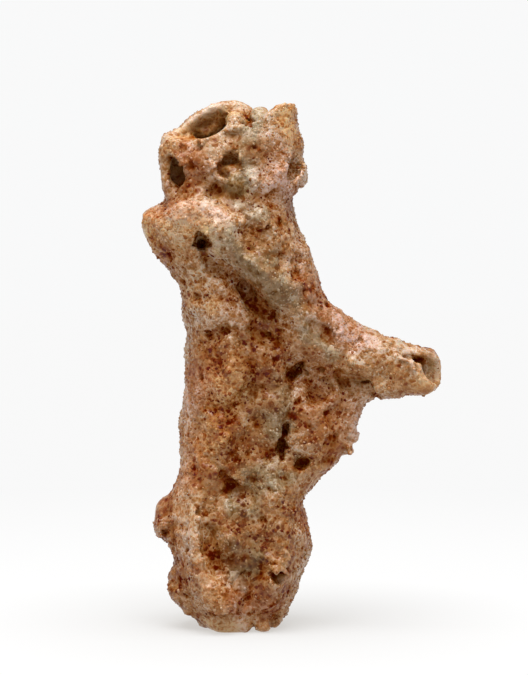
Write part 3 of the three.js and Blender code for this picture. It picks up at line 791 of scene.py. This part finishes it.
def wall_material():
    """Stained glassy sand: cells under half a millimetre wide, each its own tone inside frosted edges
    that also stand for painted glints, with pale veins across them, rusty spots in some, darker in
    pits, darker as painted shade in crevices, hollows and holes, and wet-looking where it stands proud."""
    material = bpy.data.materials.new("fused_wall")
    material.use_nodes = True
    nodes = material.node_tree.nodes
    links = material.node_tree.links
    shader = nodes["Principled BSDF"]
    place = nodes.new("ShaderNodeTexCoord").outputs["Object"]
    pale = mask(nodes, "pale")
    umber_and_shade = mask(nodes, "umber_and_shade")
    shade = mask(nodes, "shade")
    pit = mask(nodes, "pit")
    mottle = noise(nodes, links, place, MOTTLES, 3)
    bent = nodes.new("ShaderNodeVectorMath")
    bent.operation = "MULTIPLY_ADD"
    bent.inputs[1].default_value = (WANDER, WANDER, WANDER)
    links.new(mottle.outputs["Color"], bent.inputs[0])
    links.new(place, bent.inputs[2])
    cells = cell_pattern(nodes, links, bent.outputs[0], SAND_CELLS, "F1")
    rims = cell_pattern(nodes, links, bent.outputs[0], SAND_CELLS, "DISTANCE_TO_EDGE")
    tint = nodes.new("ShaderNodeSeparateColor")
    links.new(cells.outputs["Color"], tint.inputs[0])
    # Pale cell edges, partly frosted glass and partly painted glints on the grains' rims, with pale veins.
    edge = ranged(nodes, links, rims.outputs[0], 0.0, 0.20, 0.55, 0.0)
    vein = ridges(nodes, links, noise(nodes, links, place, VEINS, 2, 0.7), VEIN_HALF)
    frost_and_glint = times(nodes, links, added(nodes, links, (edge, 1.0), (vein, 0.9)),
                  ranged(nodes, links, pale, 0.3, 0.75, 0.1, 1.0))
    spot = times(nodes, links, ranged(nodes, links, cells.outputs["Distance"], 0.18, 0.54, 1.0, 0.0),
                 ranged(nodes, links, tint.outputs[1], 0.46, 0.58))
    rust = times(nodes, links, spot, added(nodes, links, (0.75, 1.0), (umber_and_shade, 0.7), (pale, -1.0),
                                           (mask(nodes, "cream"), -0.5)))
    # The shade, deep and dark brown band masks darken it as painted shade; the pale mask lightens the tops
    # partly as painted light.
    paleness = added(
        nodes, links, (WALL_PALENESS, 1.0), (pale, 0.44), (tint.outputs[0], 0.42), (frost_and_glint, 0.46),
        (rust, -0.62), (mottle.outputs[0], 0.36), (mask(nodes, "tip"), 0.10), (shade, -0.20),
        (pit, -0.25), (umber_and_shade, -0.17), (mask(nodes, "deep"), -0.22))
    links.new(stained(nodes, links, paleness), shader.inputs["Base Color"])
    bump = nodes.new("ShaderNodeBump")
    bump.inputs["Strength"].default_value = 0.7
    bump.inputs["Distance"].default_value = 0.00010
    links.new(ranged(nodes, links, cells.outputs["Distance"], 0.0, 0.8, 1.0, 0.0), bump.inputs["Height"])
    links.new(bump.outputs[0], shader.inputs["Normal"])
    links.new(ranged(nodes, links, tint.outputs[1], 0, 1, 0.30, 0.6), shader.inputs["Roughness"])
    wet = added(nodes, links, (0.17, 1.0), (tint.outputs[2], 0.38), (shade, -0.9), (pit, -0.6))
    links.new(wet, shader.inputs["Coat Weight"])
    shader.inputs["Coat Roughness"].default_value = 0.14
    links.new(ranged(nodes, links, paleness, 0.15, 0.7, 0.0, 0.3), shader.inputs["Specular IOR Level"])
    shader.inputs["Subsurface Weight"].default_value = 0.4
    shader.inputs["Subsurface Radius"].default_value = (1.0, 0.42, 0.18)
    shader.inputs["Subsurface Scale"].default_value = 0.0004
    return material


wall_skin.data.materials.append(wall_material())
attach(wall_skin, "root")
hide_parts("main_tube", "side_branch")

# ---------------------------------------------------------------------------------------------
# The sand grains: quartz that didn't melt through, stuck side by side over the outside. They
# were fused on as they lay, so each is sunk by about half. Clear, amber, rosy and rusty kinds.
# ---------------------------------------------------------------------------------------------
# How many places are tried. Then, in millimetres, how far apart grains lie, how high above the
# foot's face they start, and their half width. Then how deep a grain sinks and how far above the
# table its centre stays, in half widths, and how it is stretched and knobbled. Grains whose random
# number is above BIG_ABOVE are bigger. MOST_GRAINS is the most in a piece, at 20 triangles each.
GRAIN_TRIES = 120000
GRAIN_GAP = 0.27
GRAIN_FLOOR = 0.25
GRAIN_RADIUS = (0.10, 0.165)
GRAIN_SINK = (0.40, 0.80)
GRAIN_STAND = 1.35
GRAIN_STRETCH = (0.75, 1.25)
GRAIN_KNOBBLE = 0.13
BIG_ABOVE = 0.93
BIG_GROWTH = 0.35
MOST_GRAINS = 9900


def spaced(places, gap):
    """Numbers of places about gap apart: the first in each cube of that size, less those with
    an earlier one in a neighbouring cube nearer than 0.6 of the gap."""
    cube = np.floor(places / gap).astype(int)
    cube -= cube.min(axis=0) - 1
    size = cube.max(axis=0) + 2
    key = np.ravel_multi_index(tuple(cube.T), size)
    held, first = np.unique(key, return_index=True)
    spot = places[first]
    dropped = np.zeros(len(first), bool)
    for step in np.ndindex(3, 3, 3):
        other = held + np.ravel_multi_index(step, size) - np.ravel_multi_index((1, 1, 1), size)
        at = np.clip(np.searchsorted(held, other), 0, len(held) - 1)
        near = (held[at] == other) & (first[at] < first) & ~dropped[at]
        dropped |= near & (np.linalg.norm(spot - spot[at], axis=1) < 0.6 * gap)
    return first[~dropped]


# Grains lie evenly over the skin, fewer where the glass flowed, in the pits and in the hollows,
# and none at the foot's very edge.
pick = np.random.default_rng(41)
area = np.linalg.norm(face_out, axis=1)
chosen = pick.choice(len(skin_quads), GRAIN_TRIES, p=area / area.sum())
u = pick.random((GRAIN_TRIES, 1))
v = pick.random((GRAIN_TRIES, 1))
grain_places = (1 - u) * ((1 - v) * a[chosen] + v * b[chosen]) + u * ((1 - v) * d[chosen] + v * c[chosen])
grain_out = face_out[chosen] / area[chosen][:, None]
grain_grit = read(grit, grain_places)
grain_pit = read(pit_mask, grain_places)
likely = np.clip(1.25 * grain_grit - 0.15, 0, 1) * (1 - 0.85 * grain_pit) * (grain_places[:, 2] > GRAIN_FLOOR)
likely *= np.clip(1.15 - 1.1 * read(shade, grain_places), 0.1, 1)
likely *= np.clip(0.75 + 0.45 * read(swell(1.6, 36), grain_places), 0.1, 1)
keep = pick.random(GRAIN_TRIES) < likely
grain_places = grain_places[keep]
grain_out = grain_out[keep]
chosen = spaced(grain_places, GRAIN_GAP)
grain_places = grain_places[chosen]
grain_out = grain_out[chosen]

golden = (1 + 5 ** 0.5) / 2
icosa = np.array([(-1, golden, 0), (1, golden, 0), (-1, -golden, 0), (1, -golden, 0),
                  (0, -1, golden), (0, 1, golden), (0, -1, -golden), (0, 1, -golden),
                  (golden, 0, -1), (golden, 0, 1), (-golden, 0, -1), (-golden, 0, 1)])
icosa /= np.linalg.norm(icosa[0])
icosa_faces = np.array([(0, 11, 5), (0, 5, 1), (0, 1, 7), (0, 7, 10), (0, 10, 11),
                        (1, 5, 9), (5, 11, 4), (11, 10, 2), (10, 7, 6), (7, 1, 8),
                        (3, 9, 4), (3, 4, 2), (3, 2, 6), (3, 6, 8), (3, 8, 9),
                        (4, 9, 5), (2, 4, 11), (6, 2, 10), (8, 6, 7), (9, 8, 1)])


def turns(count, source):
    """Random rotations, from random unit quaternions."""
    w, x, y, z = source.standard_normal((4, count))
    n = np.sqrt(w * w + x * x + y * y + z * z)
    w, x, y, z = np.stack([w, x, y, z]) / n
    rows = np.stack([1 - 2 * (y * y + z * z), 2 * (x * y - z * w), 2 * (x * z + y * w),
                     2 * (x * y + z * w), 1 - 2 * (x * x + z * z), 2 * (y * z - x * w),
                     2 * (x * z - y * w), 2 * (y * z + x * w), 1 - 2 * (x * x + y * y)], axis=1)
    return rows.reshape(-1, 3, 3)


def grain_piece(name, places, out, seed):
    """Grains as one mesh: an icosahedron for each, its corners moved in and out at random, then
    stretched, turned, scaled and sunk along the wall's own outward direction."""
    source = np.random.default_rng(seed)
    count = len(places)
    shape = icosa[None] * (1 + GRAIN_KNOBBLE * source.standard_normal((count, 12, 1)))
    shape = shape * source.uniform(*GRAIN_STRETCH, (count, 1, 3))
    shape = np.einsum("nij,nkj->nki", turns(count, source), shape)
    size = source.uniform(*GRAIN_RADIUS, count)
    size = size * (1 + BIG_GROWTH * (source.random(count) > BIG_ABOVE))
    centre = places - out * (size * source.uniform(*GRAIN_SINK, count))[:, None]
    centre[:, 2] = np.maximum(centre[:, 2], size * GRAIN_STAND)
    points = centre[:, None, :] + shape * size[:, None, None]
    faces = icosa_faces[None] + 12 * np.arange(count)[:, None, None]
    masks = {label: np.repeat(values, 12) for label, values in masks_at(centre).items()}
    masks["tint"] = np.repeat(source.random(count), 12)
    return built(name, points.reshape(-1, 3), faces.reshape(-1, 3), masks)


def grain_material(name, lift, spread, gloss):
    """Grain of sand: the wall's stain, darker as painted shade where the wall's shade and dark brown
    band masks lie, each grain a tone of its own, and glossy where the glass wetted it."""
    material = bpy.data.materials.new(name)
    material.use_nodes = True
    nodes = material.node_tree.nodes
    links = material.node_tree.links
    shader = nodes["Principled BSDF"]
    tint = mask(nodes, "tint")
    # Darker as painted shade where the wall's shade and dark brown band masks lie.
    paleness = added(nodes, links, (lift, 1.0), (tint, spread), (mask(nodes, "pale"), 0.45),
                     (mask(nodes, "shade"), -0.5), (mask(nodes, "umber_and_shade"), -0.2))
    links.new(stained(nodes, links, paleness), shader.inputs["Base Color"])
    links.new(ranged(nodes, links, tint, 0, 1, gloss, gloss + 0.25), shader.inputs["Roughness"])
    links.new(ranged(nodes, links, paleness, 0.1, 0.7, 0.05, 0.45), shader.inputs["Specular IOR Level"])
    return material


# Each kind's name, the paleness it starts from, how far that spreads from grain to grain, and its
# least roughness.
GRAIN_KINDS = (
    ("quartz_grains", 0.40, 0.30, 0.08),
    ("amber_grains", 0.08, 0.30, 0.12),
    ("rose_grains", 0.20, 0.30, 0.14),
    ("rust_grains", -0.06, 0.25, 0.16),
)

# Quartz is likeliest in the flow bands and on what stands proud, amber and rose in their own
# stains, and rust in the shade mask's crevices, where its darker grains add painted shade.
near_masks = masks_at(grain_places)
odds = np.stack([
    0.28 + 0.3 * near_masks["cream"] + 0.3 * near_masks["tip"],
    0.22 + 0.5 * near_masks["amber"],
    0.24 + 0.4 * near_masks["rose"],
    0.05 + 0.6 * near_masks["shade"],
], axis=1)
odds = np.cumsum(odds / odds.sum(axis=1, keepdims=True), axis=1)
kind = (pick.random((len(grain_places), 1)) > odds[:, :3]).sum(axis=1)
for number, (name, lift, spread, gloss) in enumerate(GRAIN_KINDS):
    of_kind = np.flatnonzero(kind == number)[:MOST_GRAINS]
    piece = grain_piece(name, grain_places[of_kind], grain_out[of_kind], 50 + number)
    piece.data.materials.append(grain_material(name, lift, spread, gloss))
    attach(piece, "root")

# ---------------------------------------------------------------------------------------------
# The stage: a plain white table that fades into the white room, one wide soft lamp above and a
# little in front, and the camera on a long lens, looking slightly down on the piece.
# ---------------------------------------------------------------------------------------------
# The room's white as it is seen, and the dimmer white that it lights the piece with.
ROOM = 0.945
FILL = (0.66, 0.67, 0.68)
room = bpy.data.worlds.new("white_room")
bpy.context.scene.world = room
room.use_nodes = True
seen = room.node_tree.nodes["Background"]
seen.inputs[0].default_value = (ROOM, ROOM * 1.002, ROOM * 1.004, 1)
fill = room.node_tree.nodes.new("ShaderNodeBackground")
fill.inputs[0].default_value = (*FILL, 1)
path_kind = room.node_tree.nodes.new("ShaderNodeLightPath")
either = room.node_tree.nodes.new("ShaderNodeMixShader")
room.node_tree.links.new(path_kind.outputs["Is Camera Ray"], either.inputs[0])
room.node_tree.links.new(fill.outputs[0], either.inputs[1])
room.node_tree.links.new(seen.outputs[0], either.inputs[2])
room.node_tree.links.new(either.outputs[0], room.node_tree.nodes["World Output"].inputs[0])

# The table glows by itself and takes only a soft part of the real shadow: greyest round the foot,
# where its glow is dimmer and warmer as a painted shadow, then near white, then the room's own
# white, over two rings of distances in metres.
TABLE_HALF = 0.3
NEAR_RING = (0.006, 0.026)
FAR_RING = (0.024, 0.085)
FOOT_COVER = (0.20, 0.203, 0.210)
NEAR_COVER = (0.08, 0.080, 0.080)
# Dimmer, warmer glow round the foot: a painted shadow.
FOOT_GLOW_PAINTED_SHADOW = (0.570, 0.556, 0.532)
NEAR_GLOW = (0.865, 0.863, 0.860)
table_mesh = bpy.data.meshes.new("table")
table_mesh.from_pydata([(-TABLE_HALF, -TABLE_HALF, 0), (TABLE_HALF, -TABLE_HALF, 0),
                        (TABLE_HALF, TABLE_HALF, 0), (-TABLE_HALF, TABLE_HALF, 0)], [], [(0, 1, 2, 3)])
table = bpy.data.objects.new("table", table_mesh)
bpy.context.collection.objects.link(table)
table_material = bpy.data.materials.new("white_table")
table_material.use_nodes = True
nodes = table_material.node_tree.nodes
links = table_material.node_tree.links
shader = nodes["Principled BSDF"]
shader.inputs["Roughness"].default_value = 0.9
shader.inputs["Specular IOR Level"].default_value = 0.0
place = nodes.new("ShaderNodeTexCoord")
away = nodes.new("ShaderNodeVectorMath")
away.operation = "LENGTH"
links.new(place.outputs["Object"], away.inputs[0])
near = ranged(nodes, links, away.outputs["Value"], *NEAR_RING)
fade = ranged(nodes, links, away.outputs["Value"], *FAR_RING)
cover = mixed(nodes, links, near, FOOT_COVER, NEAR_COVER)
links.new(mixed(nodes, links, fade, cover, (0.0, 0.0, 0.0)), shader.inputs["Base Color"])
glow = mixed(nodes, links, near, FOOT_GLOW_PAINTED_SHADOW, NEAR_GLOW)
links.new(mixed(nodes, links, fade, glow, (ROOM, ROOM, ROOM)), shader.inputs["Emission Color"])
shader.inputs["Emission Strength"].default_value = 1.0
table.data.materials.append(table_material)

LAMP_SIDE = 0.26
LAMP_POWER = 1.62
LAMP_PLACE = Vector((-0.01, -0.09, 0.30))
LAMP_AIM = Vector((0.001, 0.0, 0.020))
lamp_data = bpy.data.lights.new("soft_lamp", "AREA")
lamp_data.shape = "RECTANGLE"
lamp_data.size = LAMP_SIDE
lamp_data.size_y = LAMP_SIDE
lamp_data.energy = LAMP_POWER
lamp = bpy.data.objects.new("soft_lamp", lamp_data)
bpy.context.collection.objects.link(lamp)
lamp.location = LAMP_PLACE
lamp.rotation_euler = (LAMP_AIM - LAMP_PLACE).to_track_quat("-Z", "Y").to_euler()

# The view's height is so many rows, each a fixed height where the piece stands.
VIEW_ROWS = 675
ROW_HEIGHT = 0.0000762
SENSOR = 36
TARGET = (0.00106, 0.0, 0.0222)
VIEW_DISTANCE = 0.300
VIEW_SLOPE = math.radians(5)
camera_data = bpy.data.cameras.new("camera")
camera_data.sensor_fit = "VERTICAL"
camera_data.sensor_height = SENSOR
camera_data.lens = SENSOR * VIEW_DISTANCE / (VIEW_ROWS * ROW_HEIGHT)
camera_data.clip_start = 0.01
camera = bpy.data.objects.new("camera", camera_data)
bpy.context.collection.objects.link(camera)
camera.location = (TARGET[0], -VIEW_DISTANCE * math.cos(VIEW_SLOPE),
                   TARGET[2] + VIEW_DISTANCE * math.sin(VIEW_SLOPE))
camera.rotation_euler = (math.pi / 2 - VIEW_SLOPE, 0, 0)
bpy.context.scene.camera = camera
bpy.context.scene.view_settings.view_transform = "Standard"
